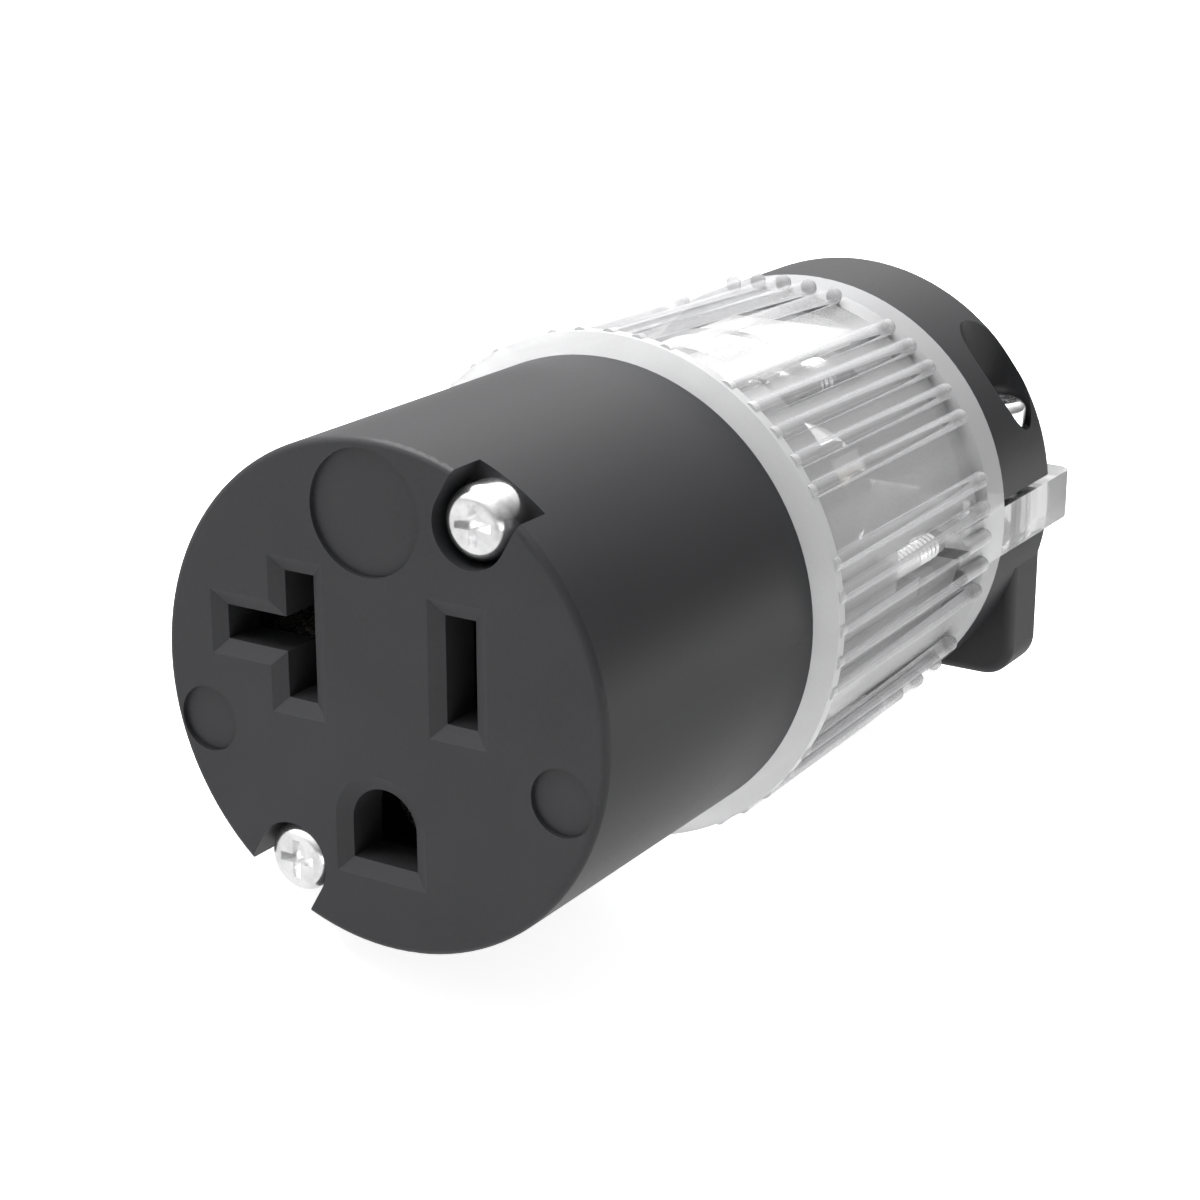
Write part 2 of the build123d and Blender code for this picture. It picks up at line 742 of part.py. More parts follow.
# Wire clamp plates and terminal screws, one pair on each tail
plate_offset = tail_offset + strip / 2 + wire_gap
ground_plate_offset = ground_tail_line - strip / 2 - wire_gap
terminals = {
    "hot": Plane((plate_offset, terminal_station, terminal_height), x_dir=(0, 1, 0), z_dir=(1, 0, 0)),
    "neutral": Plane((-plate_offset, terminal_station, terminal_height), x_dir=(0, 1, 0), z_dir=(-1, 0, 0)),
    "ground": Plane((0, terminal_station, ground_plate_offset), x_dir=(0, 1, 0), z_dir=(0, 0, -1)),
}
for name, plane in terminals.items():
    with BuildPart() as plate:
        with BuildSketch(plane):
            outline = Rectangle(terminal_width, terminal_width)
            chamfer(outline.vertices(), terminal_chamfer)
            Circle(terminal_shank_radius + fit_clearance, mode=Mode.SUBTRACT)
        extrude(amount=clamp_plate)
    save(plate.part, f"{name}_wire_clamp")
    screw = screw_on(
        plane.offset(clamp_plate),
        terminal_head_radius,
        terminal_head_height,
        terminal_shank_radius,
        terminal_shank_length,
        small_head_round,
    )
    save(screw, f"{name}_terminal_screw")

# Lamp board under the top of the bore, with the lamp's lens in its window
window = (window_spot[0], step_one + window_spot[1])
board_length = inner_end - step_one - board_clearance
with BuildPart() as lamp_board:
    with BuildSketch(Plane.XY.offset(board_face)):
        with Locations((0, step_one)):
            board = Rectangle(board_width, board_length, align=(Align.CENTER, Align.MIN))
        chamfer(board.vertices().group_by(Axis.Y)[0], board_chamfer)
        with Locations(window):
            Rectangle(window_width, window_length, mode=Mode.SUBTRACT)
    extrude(amount=board_thickness)
save(lamp_board.part, "lamp_board")

with BuildPart() as lamp:
    with BuildSketch(Plane.XY.offset(board_face)):
        with Locations(window):
            Rectangle(lamp_width, lamp_length)
    extrude(amount=-lamp_base)
    with BuildSketch(Plane.XY.offset(board_face)):
        with Locations(window):
            Rectangle(lens_width, lens_length)
    extrude(amount=lens_height)
    fillet(lamp.faces().sort_by(Axis.Z)[-1].edges(), lens_round)
save(lamp.part, "lamp")

# Resistor under the board, on its bent wires
resistor_station = step_one + resistor_spot[1]
resistor_line = board_face - resistor_radius
with BuildPart() as dropping_resistor:
    with BuildSketch(station(resistor_station + resistor_length / 2)):
        with Locations((resistor_spot[0], resistor_line)):
            Circle(resistor_radius)
    extrude(amount=resistor_length)
    fillet(dropping_resistor.edges().filter_by(GeomType.CIRCLE), resistor_round)
    half_span = resistor_lead_span / 2
    with BuildLine(Plane.YZ.offset(resistor_spot[0])) as wire:
        FilletPolyline(
            (resistor_station - half_span, board_face),
            (resistor_station - half_span, resistor_line),
            (resistor_station + half_span, resistor_line),
            (resistor_station + half_span, board_face),
            radius=2 * resistor_lead_radius,
        )
    with BuildSketch(Plane(wire.line @ 0, z_dir=wire.line % 0)):
        Circle(resistor_lead_radius)
    sweep()
save(dropping_resistor.part, "dropping_resistor")

# Leads from the board down to the inner faces of the two blade contacts' tails
for side, name in ((1, "hot"), (-1, "neutral")):
    landing = tail_offset - strip / 2 - lead_radius
    with BuildPart() as lead:
        with BuildLine(Plane.XZ.offset(-step_one - lead_spot[1])) as path:
            FilletPolyline(
                (side * lead_spot[0], board_face),
                (side * lead_spot[0], board_face - lead_drop),
                (side * landing, lead_landing[0]),
                (side * landing, lead_landing[1]),
                radius=lead_bend,
            )
        with BuildSketch(Plane(path.line @ 0, z_dir=path.line % 0)):
            Circle(lead_radius)
        sweep()
    save(lead.part, f"{name}_lamp_lead")
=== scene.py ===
"""Looks of the lighted cord connector: finishes, small details, floor, light and camera.

Every length is in metres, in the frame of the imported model: +Y runs from the socket face to
the cord end, and +Z is up as the connector lies. Some places are easier to give with the blade
slots above the earth hole. They are given so and turned by TURN.
"""

import json
import logging
import math
from collections.abc import Callable, Iterable, Mapping, Sequence
from dataclasses import dataclass
from enum import Enum
from functools import cached_property

import bpy
from mathutils import Matrix, Vector


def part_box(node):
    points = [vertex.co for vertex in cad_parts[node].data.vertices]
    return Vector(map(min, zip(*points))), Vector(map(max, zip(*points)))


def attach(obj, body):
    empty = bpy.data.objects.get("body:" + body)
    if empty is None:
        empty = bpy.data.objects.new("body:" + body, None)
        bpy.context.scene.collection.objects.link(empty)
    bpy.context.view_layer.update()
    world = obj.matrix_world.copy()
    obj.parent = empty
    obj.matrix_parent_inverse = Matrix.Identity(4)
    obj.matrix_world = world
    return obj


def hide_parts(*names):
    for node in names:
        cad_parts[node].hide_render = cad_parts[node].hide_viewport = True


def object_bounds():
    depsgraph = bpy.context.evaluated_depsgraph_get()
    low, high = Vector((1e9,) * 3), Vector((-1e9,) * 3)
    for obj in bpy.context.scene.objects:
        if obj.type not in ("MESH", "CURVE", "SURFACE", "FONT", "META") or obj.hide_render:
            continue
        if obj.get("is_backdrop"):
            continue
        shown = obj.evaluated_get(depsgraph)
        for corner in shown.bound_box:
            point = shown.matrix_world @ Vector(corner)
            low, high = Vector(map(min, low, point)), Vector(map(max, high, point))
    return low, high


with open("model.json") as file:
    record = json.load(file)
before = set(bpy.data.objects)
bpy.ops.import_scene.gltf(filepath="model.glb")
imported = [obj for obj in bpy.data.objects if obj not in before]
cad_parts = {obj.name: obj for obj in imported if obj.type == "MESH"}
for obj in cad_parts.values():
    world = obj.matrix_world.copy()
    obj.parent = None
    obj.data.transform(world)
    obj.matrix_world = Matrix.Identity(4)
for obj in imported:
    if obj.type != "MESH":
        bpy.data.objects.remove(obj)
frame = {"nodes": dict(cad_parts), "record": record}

MM = 0.001
TURN = Matrix.Rotation(math.radians(-22.5), 3, "Y")

# Where the clear housing's wall starts and stops along Y, and its radius there.
WALL_FRONT = 28.85 * MM
WALL_REAR = 54.45 * MM
WALL_RADIUS_FRONT = 18.1 * MM
WALL_RADIUS_REAR = 17.35 * MM
# Where the housing's rear band starts and stops along Y, and where its bore has steps.
BAND_FRONT = 54.6 * MM
BAND_REAR = 58.5 * MM
BORE_STEPS = (36.9 * MM, 45.52 * MM)
# On the outside, what lies in front of this place along Y is the flange. The faces of a bore
# step have their middles outside this radius.
FLANGE_LIMIT = 28.8 * MM
BORE_STEP_INNER = 15.2 * MM
# The radius that tells the housing's outside from its bore.
OUTSIDE = 17.36 * MM
# Where the ribs' rounded rear ends start along Y, and the radius that they lie outside.
RIB_END_FRONT = 53.7 * MM
RIB_END_INNER = 17.5 * MM
# The middle height of the ears, and how far above and below the axis they can reach.
EAR_HEIGHT = -0.75 * MM
EAR_REACH = 2.9 * MM
# The line of the clamp screws, before the turn and in millimetres.
CLAMP_SCREW_X_MM = 13.8
CLAMP_SCREW_Y_MM = 64.9
# Heights of the clamp screws' threads and inserts, before the turn and in millimetres.
CLAMP_THREAD_MM = (-9.2, -1.2)
CLAMP_INSERT_MM = (-9.3, -2.8)
# Where the carrier screws and the assembly screws are threaded, along Y.
CARRIER_THREAD = (43.6 * MM, 52.7 * MM)
ASSEMBLY_THREAD = (36.0 * MM, 46.9 * MM)
# How deep the foot of a thread's ridge lies in the shank, and how far its edge stands out.
RIDGE_SINK = 0.02 * MM
RIDGE_HEIGHT = 0.2 * MM
# The middles of the wire clamp plates' outer faces, before the turn and in millimetres.
PLATE_Y_MM = 41.3
BLADE_PLATE_X_MM = 12.2
BLADE_PLATE_Z_MM = 5.0
GROUND_PLATE_Z_MM = -13.68
# Soft edges in the clear housing's haze, each given by the two places that it changes between:
# over the lamp board, at the top where a painted light makes its colour paler, towards the ribs'
# ends, and in the roots of the ears.
BOARD_SIDE = (8.0 * MM, 6.5 * MM)
BOARD_UNDER = (0.0, 1.0 * MM)
PAINTED_TOP_LIGHT = (13.5 * MM, 17.0 * MM)
RIB_FADE = (53.0 * MM, 54.0 * MM)
ROOT_EDGE = (2.6 * MM, 2.1 * MM)
ROOT_SCREW_FRONT = (43.2 * MM, 43.7 * MM)
ROOT_SCREW_REAR = (50.4 * MM, 49.6 * MM)
ROOT_BEHIND_SCREW = (49.8 * MM, 50.6 * MM)
# Shank radius and thread pitch of each kind of screw, and the radii of the inserts.
CARRIER_SCREW = (0.95 * MM, 0.7 * MM)
LONG_SCREW = (1.45 * MM, 0.8 * MM)
CLAMP_INSERT_RADIUS = 2.1 * MM
SCREW_INSERT_RADIUS = 1.85 * MM
INSERT_BORE = 1.5 * MM

LOG = logging.getLogger("scene")
Colour = tuple[float, float, float]


class Slot(Enum):
    """The record's material slots."""

    NYLON = "black_nylon"
    CLEAR = "clear_polycarbonate"
    CLAMP = "black_clamp"
    ZINC = "zinc_screw"
    INSERT = "insert_plated"
    CARRIER = "carrier_nylon"
    CONTACT = "contact_plated"
    PLATE = "clamp_plate"
    HOT = "hot_screw"
    NICKEL = "nickel_screw"
    GREEN = "green_screw"
    BOARD = "board_white"
    LAMP = "lamp_clear"
    RESISTOR = "resistor_body"
    LEAD = "lead_sleeve"


class Field:
    """A shader socket that takes part in arithmetic.

    Args:
        graph: The node tree's owner.
        socket: The output socket that this value stands for.
    """

    def __init__(self, graph: "Graph", socket: bpy.types.NodeSocket) -> None:
        self.graph = graph
        self.socket = socket

    def _math(self, operation: str, *others: "Value") -> "Field":
        values = dict(enumerate((self, *others)))
        return self.graph.make("ShaderNodeMath", values, operation=operation)

    def _swapped(self, operation: str, other: "Value") -> "Field":
        return self.graph.make("ShaderNodeMath", {0: other, 1: self}, operation=operation)

    def __add__(self, other: "Value") -> "Field":
        return self._math("ADD", other)

    def __radd__(self, other: "Value") -> "Field":
        return self._swapped("ADD", other)

    def __sub__(self, other: "Value") -> "Field":
        return self._math("SUBTRACT", other)

    def __rsub__(self, other: "Value") -> "Field":
        return self._swapped("SUBTRACT", other)

    def __mul__(self, other: "Value") -> "Field":
        return self._math("MULTIPLY", other)

    def __rmul__(self, other: "Value") -> "Field":
        return self._swapped("MULTIPLY", other)

    def __truediv__(self, other: "Value") -> "Field":
        return self._math("DIVIDE", other)

    def __rtruediv__(self, other: "Value") -> "Field":
        return self._swapped("DIVIDE", other)

    def __pow__(self, other: "Value") -> "Field":
        return self._math("POWER", other)

    def __rpow__(self, other: "Value") -> "Field":
        return self._swapped("POWER", other)

    def __neg__(self) -> "Field":
        return self._math("MULTIPLY", -1.0)

    def __abs__(self) -> "Field":
        return self._math("ABSOLUTE")

    def ramp(
        self, low: float, high: float, start: "Value" = 0.0, stop: "Value" = 1.0
    ) -> "Field":
        """Map low to start and high to stop, without leaving that range.

        Args:
            low: The value that gives start.
            high: The value that gives stop.
            start: The result at and below low.
            stop: The result at and above high.

        Returns:
            The mapped value.
        """
        given = {"Value": self, "From Min": low, "From Max": high}
        wanted = {"To Min": start, "To Max": stop}
        return self.graph.make("ShaderNodeMapRange", {**given, **wanted}, clamp=True)

    def blend(self, first: "Colour | Field", second: "Colour | Field") -> "Field":
        """Mix two colours by this value.

        Args:
            first: The colour at 0.
            second: The colour at 1.

        Returns:
            The mixed colour.
        """
        ends = (end if isinstance(end, Field) else (*end, 1.0) for end in (first, second))
        inputs = {"Factor": self, **dict(zip((6, 7), ends))}
        return self.graph.make("ShaderNodeMix", inputs, output=2, data_type="RGBA")


Value = float | Field


class Graph:
    """The node tree of one material or world.

    Args:
        owner: The material or world that the tree belongs to.
    """

    def __init__(self, owner: bpy.types.Material | bpy.types.World) -> None:
        owner.use_nodes = True
        self.owner = owner
        self.tree = owner.node_tree
        self.tree.nodes.clear()

    @classmethod
    def material(cls, name: str) -> "Graph":
        """Start an empty material.

        Args:
            name: The material's name.

        Returns:
            Its graph.
        """
        return cls(bpy.data.materials.new(name))

    def make(
        self,
        kind: str,
        inputs: Mapping[int | str, object] | None = None,
        output: int | str = 0,
        **settings: object,
    ) -> Field:
        """Add any node, set or link its inputs, and give one of its outputs.

        Args:
            kind: The node's type name.
            inputs: Values or fields by socket name or number.
            output: The name or number of the output wanted.
            **settings: Properties of the node itself.

        Returns:
            The output as a field.
        """
        node = self.tree.nodes.new(kind)
        for name, setting in settings.items():
            setattr(node, name, setting)
        for key, value in (inputs or {}).items():
            if isinstance(value, Field):
                self.tree.links.new(value.socket, node.inputs[key])
            else:
                node.inputs[key].default_value = value
        return Field(self, node.outputs[output])

    def place(self) -> Field:
        """Give the point in the object's own coordinates."""
        return self.make("ShaderNodeTexCoord", output="Object")

    def along(self, axis: Sequence[float], point: Field | None = None) -> Field:
        """Give how far a point lies along an axis that turns with the object.

        Args:
            axis: The axis, before the turn.
            point: The point, or None for the one being shaded.

        Returns:
            The distance along the axis.
        """
        inputs = {0: point or self.place(), 1: TURN @ Vector(axis)}
        return self.make("ShaderNodeVectorMath", inputs, output="Value", operation="DOT_PRODUCT")

    def noise(
        self, size: float, detail: float = 3.0, stretch: Sequence[float] = (1, 1, 1)
    ) -> Field:
        """Give a soft noise from 0 to 1.

        Args:
            size: The size of its blotches, in metres.
            detail: How many finer layers it has.
            stretch: How much finer it is along each axis.

        Returns:
            The noise.
        """
        place = self.make("ShaderNodeMapping", {"Vector": self.place(), "Scale": stretch})
        inputs = {"Vector": place, "Scale": 1 / size, "Detail": detail, "Roughness": 0.55}
        return self.make("ShaderNodeTexNoise", inputs)

    def finish(
        self,
        colour: Colour | Field,
        roughness: Value,
        relief: Field | None = None,
        depth: float = 0.0,
        **constants: object,
    ) -> bpy.types.Material:
        """Close the tree with a surface shader.

        Args:
            colour: The base colour, plain or as a field.
            roughness: The roughness, plain or as a field.
            relief: The height that bumps the surface.
            depth: The height of that relief, in metres.
            **constants: Other sockets of the shader, with _ for a space.

        Returns:
            The finished material.
        """
        inputs: dict[int | str, object] = {
            name.replace("_", " "): value for name, value in constants.items()
        }
        inputs["Base Color"] = colour if isinstance(colour, Field) else (*colour, 1.0)
        inputs["Roughness"] = roughness
        if relief is not None:
            bump = {"Height": relief, "Strength": 1.0, "Distance": depth}
            inputs["Normal"] = self.make("ShaderNodeBump", bump)
        shader = self.make("ShaderNodeBsdfPrincipled", inputs)
        self.make_output(shader)
        return self.owner

    def make_output(self, shader: Field) -> None:
        """Link a shader to the material's or the world's output."""
        kind = "World" if isinstance(self.owner, bpy.types.World) else "Material"
        node = self.tree.nodes.new(f"ShaderNodeOutput{kind}")
        self.tree.links.new(shader.socket, node.inputs["Surface"])


def scaled(colour: Colour, factor: float) -> Colour:
    """Give a colour that is darker or lighter by a factor, at most 1 in each part."""
    red, green, blue = (min(1.0, factor * part) for part in colour)
    return red, green, blue


@dataclass(frozen=True)
class Moulded:
    """A solid moulded plastic with a fine grain.

    Attributes:
        name: The material's name.
        colour: Its base colour.
        roughness: Its mean roughness.
        grain: The size of the grain, in metres.
        depth: The height of the grain, in metres.
        shine: The specular level.
        scatter: The weight of light that goes under the surface.
        glow: The strength of a painted glow that it gives off, though it is no lamp.
    """

    name: str
    colour: Colour
    roughness: float
    grain: float = 0.35 * MM
    depth: float = 0.004 * MM
    shine: float = 0.5
    scatter: float = 0.0
    glow: float = 0.0

    def make(self) -> bpy.types.Material:
        """Build the material: grain, faint flow marks and slightly uneven gloss."""
        graph = Graph.material(self.name)
        grain = graph.noise(self.grain, 4.0)
        flow = graph.noise(9 * MM, 2.0, (1.0, 0.35, 1.0))
        mottle = 0.55 * flow + 0.45 * grain
        colour = mottle.ramp(0.3, 0.7).blend(scaled(self.colour, 0.86), scaled(self.colour, 1.1))
        roughness = self.roughness + 0.1 * (flow - 0.5) + 0.08 * (grain - 0.5)
        return graph.finish(
            colour,
            roughness,
            grain + 0.6 * flow,
            self.depth,
            Specular_IOR_Level=self.shine,
            Subsurface_Weight=self.scatter,
            Subsurface_Radius=(0.6 * MM, 0.6 * MM, 0.6 * MM),
            Emission_Color=(*self.colour, 1.0),
            Emission_Strength=self.glow,
        )


@dataclass(frozen=True)
class Clear:
    """A cloudy see-through plastic, polished or frosted.

    Attributes:
        name: The material's name.
        colour: The colour of its haze.
        haze: How much of the light its surface scatters, seen straight on.
        rim: How much more it scatters at a grazing angle.
        roughness: How matt its gloss is.
        grain: The size of its texture, in metres.
        depth: The height of its texture, in metres.
        speckle: How much the haze varies with the texture.
        passing: The share of the rest that is bent through it, as in a thick clear block.
        window: How much clearer it is over the screws in the roots of the ears.
        ribs: How much clearer the ribs are than the wall, or 0 where there are none.
    """

    name: str
    colour: Colour
    haze: float
    rim: float
    roughness: float
    grain: float = 0.2 * MM
    depth: float = 0.00006 * MM
    speckle: float = 0.16
    passing: float = 0.0
    window: float = 0.0
    ribs: float = 0.0

    def make(self) -> bpy.types.Material:
        """Build the material: haze with a fine speckle, flow marks, and whiter edges."""
        graph = Graph.material(self.name)
        grain = graph.noise(self.grain, 3.0)
        flow = graph.noise(7 * MM, 2.0, (1.0, 0.4, 1.0))
        facing = graph.make("ShaderNodeLayerWeight", {"Blend": 0.4}, output="Facing")
        haze = self.haze + self.speckle * (grain - 0.5) + 0.06 * (flow - 0.5)
        rim = self.rim * facing
        colour = flow.ramp(0.35, 0.65).blend(scaled(self.colour, 0.93), self.colour)
        if self.ribs:
            x, y, z = (graph.along(axis) for axis in ((1, 0, 0), (0, 1, 0), (0, 0, 1)))
            ribbed = self.mask_ribs(x, y, z)
            board = abs(x).ramp(*BOARD_SIDE) * z.ramp(*BOARD_UNDER)
            haze = haze * (1.0 - self.ribs * ribbed) * (1.0 - 0.45 * board)
            rim = rim * (1.0 - 0.2 * ribbed)
            # Painted light: the haze's colour grows paler towards the top, where the key lamp
            # falls from above.
            colour = z.ramp(*PAINTED_TOP_LIGHT).blend(colour, scaled(self.colour, 1.4))
        haze = haze + rim
        if self.window:
            across, along = graph.along((0, 0, 1)), graph.along((0, 1, 0))
            root = abs(across - EAR_HEIGHT).ramp(*ROOT_EDGE)
            over_screw = along.ramp(*ROOT_SCREW_FRONT) * along.ramp(*ROOT_SCREW_REAR)
            behind_screw = along.ramp(*ROOT_BEHIND_SCREW)
            haze = haze * (1.0 - self.window * root * over_screw) + 0.35 * root * behind_screw
        return graph.finish(
            colour,
            self.roughness + 0.12 * (grain - 0.5),
            grain + 0.4 * flow,
            self.depth,
            Alpha=haze.ramp(0.0, 1.0),
            Coat_Weight=0.1,
            Transmission_Weight=self.passing,
        )

    def mask_ribs(self, x: Field, y: Field, z: Field) -> Field:
        """Tell the ribs from the wall by how far they stand out of it.

        Args:
            x: The place across.
            y: The place along.
            z: The height, before the turn.

        Returns:
            1 on the ribs and 0 elsewhere, with soft edges.
        """
        wall = y.ramp(WALL_FRONT, WALL_REAR, WALL_RADIUS_FRONT, WALL_RADIUS_REAR)
        proud = (x * x + z * z) ** 0.5 - wall
        ribbed = proud.ramp(0.06 * MM, 0.2 * MM)
        ribbed = ribbed * y.ramp(WALL_FRONT - 0.05 * MM, WALL_FRONT + 0.05 * MM)
        ends = y.ramp(BAND_FRONT, BAND_FRONT - 0.1 * MM) * y.ramp(*RIB_FADE, 1.0, 0.4)
        return ribbed * ends


@dataclass(frozen=True)
class Metal:
    """A plated, stamped or turned metal.

    Attributes:
        name: The material's name.
        colour: Its clean colour.
        tarnish: The colour of its duller spots.
        roughness: Its mean roughness.
        brush: How much finer the marks are across each axis.
        depth: The height of the marks, in metres.
        coat: The weight of a clear coat over it.
        glow: The strength of a painted glow that it gives off, though it is no lamp.
    """

    name: str
    colour: Colour
    tarnish: Colour
    roughness: float
    brush: tuple[float, float, float] = (1.0, 1.0, 1.0)
    depth: float = 0.0015 * MM
    coat: float = 0.0
    glow: float = 0.0

    def make(self) -> bpy.types.Material:
        """Build the material: fine marks, soft spots of tarnish and uneven gloss."""
        graph = Graph.material(self.name)
        marks = graph.noise(0.16 * MM, 4.0, self.brush)
        spots = graph.noise(1.3 * MM, 3.0)
        colour = spots.ramp(0.42, 0.72).blend(self.colour, self.tarnish)
        roughness = self.roughness + 0.14 * (marks - 0.5) + 0.16 * (spots - 0.5)
        return graph.finish(
            colour,
            roughness,
            marks,
            self.depth,
            Metallic=1.0,
            Coat_Weight=self.coat,
            Emission_Color=(*self.colour, 1.0),
            Emission_Strength=self.glow,
        )


@dataclass(frozen=True)
class Banded:
    """A lacquered resistor body with plain colour bands round it.

    Attributes:
        name: The material's name.
        colour: The body's colour.
        bands: The bands, each as its middle along Y, in metres, and its colour.
        width: The width of a band, in metres.
    """

    name: str
    colour: Colour
    bands: tuple[tuple[float, Colour], ...]
    width: float = 0.55 * MM

    def make(self) -> bpy.types.Material:
        """Build the material: bands mixed over the lacquer, one after another."""
        graph = Graph.material(self.name)
        along = graph.along((0, 1, 0))
        speck = graph.noise(0.4 * MM, 3.0)
        colour = speck.blend(scaled(self.colour, 0.9), self.colour)
        for middle, paint in self.bands:
            inside = abs(along - middle).ramp(0.5 * self.width, 0.42 * self.width)
            colour = inside.blend(colour, paint)
        return graph.finish(colour, 0.3 + 0.1 * speck, speck, 0.004 * MM, Coat_Weight=0.4)


Finish = Moulded | Clear | Metal | Banded

ZINC_TARNISH = (0.74, 0.74, 0.75)
FINISHES: dict[Slot, Finish] = {
    Slot.NYLON: Moulded("black_nylon", (0.02, 0.02, 0.0215), 0.42, shine=0.2),
    Slot.CLAMP: Moulded("black_clamp", (0.018, 0.018, 0.0195), 0.4, shine=0.22),
    Slot.CLEAR: Clear(
        "clear_polycarbonate", (0.46, 0.46, 0.465), 0.5, 0.26, 0.24, window=0.35, ribs=0.5
    ),
    Slot.ZINC: Metal("zinc_screw", (0.94, 0.94, 0.94), ZINC_TARNISH, 0.22),
    Slot.INSERT: Metal("insert_plated", (0.78, 0.77, 0.74), (0.55, 0.54, 0.5), 0.3),
    Slot.CARRIER: Moulded("carrier_nylon", (0.3, 0.3, 0.3), 0.4),
    Slot.CONTACT: Metal(
        "contact_plated", (0.8, 0.78, 0.73), (0.58, 0.55, 0.49), 0.28, (1.0, 0.15, 1.0)
    ),
    Slot.PLATE: Metal("clamp_plate", (0.8, 0.79, 0.76), (0.55, 0.54, 0.52), 0.26, (0.2, 1.0, 1.0)),
    Slot.HOT: Metal("hot_screw", (0.82, 0.78, 0.7), (0.56, 0.52, 0.45), 0.26),
    Slot.NICKEL: Metal("nickel_screw", (0.8, 0.79, 0.77), (0.52, 0.52, 0.51), 0.24),
    Slot.GREEN: Metal("green_screw", (0.1, 0.42, 0.2), (0.05, 0.24, 0.11), 0.32, coat=0.3),
    # Painted light: the board's glow stands for the light that a real clear wall would let through
    # onto it.
    Slot.BOARD: Moulded("board_white", (0.9, 0.9, 0.89), 0.3, grain=0.6 * MM, glow=0.5),
    Slot.LAMP: Clear("lamp_clear", (0.4, 0.39, 0.37), 0.75, 0.2, 0.2),
    Slot.RESISTOR: Banded(
        "resistor_body",
        (0.7, 0.58, 0.4),
        (
            (46.0 * MM, (0.16, 0.07, 0.03)),
            (47.2 * MM, (0.02, 0.02, 0.02)),
            (48.4 * MM, (0.75, 0.3, 0.03)),
        ),
    ),
    Slot.LEAD: Moulded("lead_sleeve", (0.82, 0.82, 0.8), 0.42, grain=0.5 * MM),
}


@dataclass
class Wardrobe:
    """Builds each finish once and hands it out.

    Attributes:
        made: The materials made so far, by slot.
    """

    made: dict[Slot, bpy.types.Material]

    @cached_property
    def painted_glow_metal(self) -> bpy.types.Material:
        """The finish of the carrier screws' threads and the plate rims, with a painted glow that
        brightens them.
        """
        return Metal("painted_glow_metal", (0.94, 0.94, 0.94), ZINC_TARNISH, 0.3, glow=0.45).make()

    def get(self, slot: Slot) -> bpy.types.Material:
        """Give the material of a slot."""
        if slot not in self.made:
            self.made[slot] = FINISHES[slot].make()
        return self.made[slot]

    def dress_nodes(
        self, nodes: Mapping[str, bpy.types.Object], record: Mapping[str, object]
    ) -> None:
        """Give every CAD node its finish.

        Args:
            nodes: The CAD nodes by name.
            record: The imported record, which names each node's slot.
        """
        for entry in record["subparts"]:
            node = nodes[entry["node"]]
            node.data.materials.clear()
            node.data.materials.append(self.get(Slot(entry["material_slot"])))
            for polygon in node.data.polygons:
                polygon.material_index = 0
        LOG.info("dressed %d nodes in %d finishes", len(record["subparts"]), len(self.made))


@dataclass(frozen=True)
class Shape:
    """A mesh built in code, in the row frame.

    Attributes:
        name: The piece's name.
        slot: Where its finish comes from.
        corners: Its vertices.
        faces: Its faces, as numbers of vertices.
        smooth: Whether its faces are shaded smooth.
    """

    name: str
    slot: Slot
    corners: list[Vector]
    faces: list[tuple[int, ...]]
    smooth: bool = True

    def add(self, wardrobe: Wardrobe, *replaced: str) -> bpy.types.Object:
        """Make the object, let it ride the body, and let it stand for CAD nodes.

        Args:
            wardrobe: The source of its finish.
            *replaced: CAD nodes that it stands for.

        Returns:
            The object.
        """
        mesh = bpy.data.meshes.new(self.name)
        mesh.from_pydata([tuple(corner) for corner in self.corners], [], self.faces)
        mesh.update()
        for polygon in mesh.polygons:
            polygon.use_smooth = self.smooth
        piece = bpy.data.objects.new(self.name, mesh)
        bpy.context.scene.collection.objects.link(piece)
        mesh.materials.append(wardrobe.get(self.slot))
        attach(piece, "root")
        if replaced:
            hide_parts(*replaced)
        return piece


@dataclass(frozen=True)
class Helix:
    """A screw thread: one sharp ridge that winds along a straight axis.

    Attributes:
        name: The piece's name.
        slot: Where its finish comes from.
        start: The axis's first point.
        stop: The axis's last point.
        root: The radius at the foot of the ridge.
        crest: The radius at its edge.
        pitch: The advance of one turn.
    """

    name: str
    slot: Slot
    start: Vector
    stop: Vector
    root: float
    crest: float
    pitch: float

    def shape(self, steps: int = 28) -> Shape:
        """Wind the ridge, which fades out at both ends.

        Args:
            steps: Cuts in one turn.

        Returns:
            The ridge as a shape.
        """
        run = self.stop - self.start
        turns = run.length / self.pitch - 1.0
        turning = run.to_track_quat("Z", "Y").to_matrix()
        count = int(turns * steps)
        flank = 0.42
        corners: list[Vector] = []
        faces: list[tuple[int, ...]] = []
        for index in range(count + 1):
            angle = 2 * math.pi * index / steps
            rise = self.pitch * (index / steps + 0.5)
            fade = min(1.0, 2 * index / steps, 2 * (count - index) / steps)
            crest = self.root + (self.crest - self.root) * fade
            for radius, lift in ((self.root, -flank), (crest, 0.0), (self.root, flank)):
                height = rise + lift * self.pitch
                local = Vector((radius * math.cos(angle), radius * math.sin(angle), height))
                corners.append(self.start + turning @ local)
            if index:
                base = 3 * index
                faces.append((base - 3, base, base + 1, base - 2))
                faces.append((base - 2, base + 1, base + 2, base - 1))
        return Shape(self.name, self.slot, corners, faces, smooth=False)


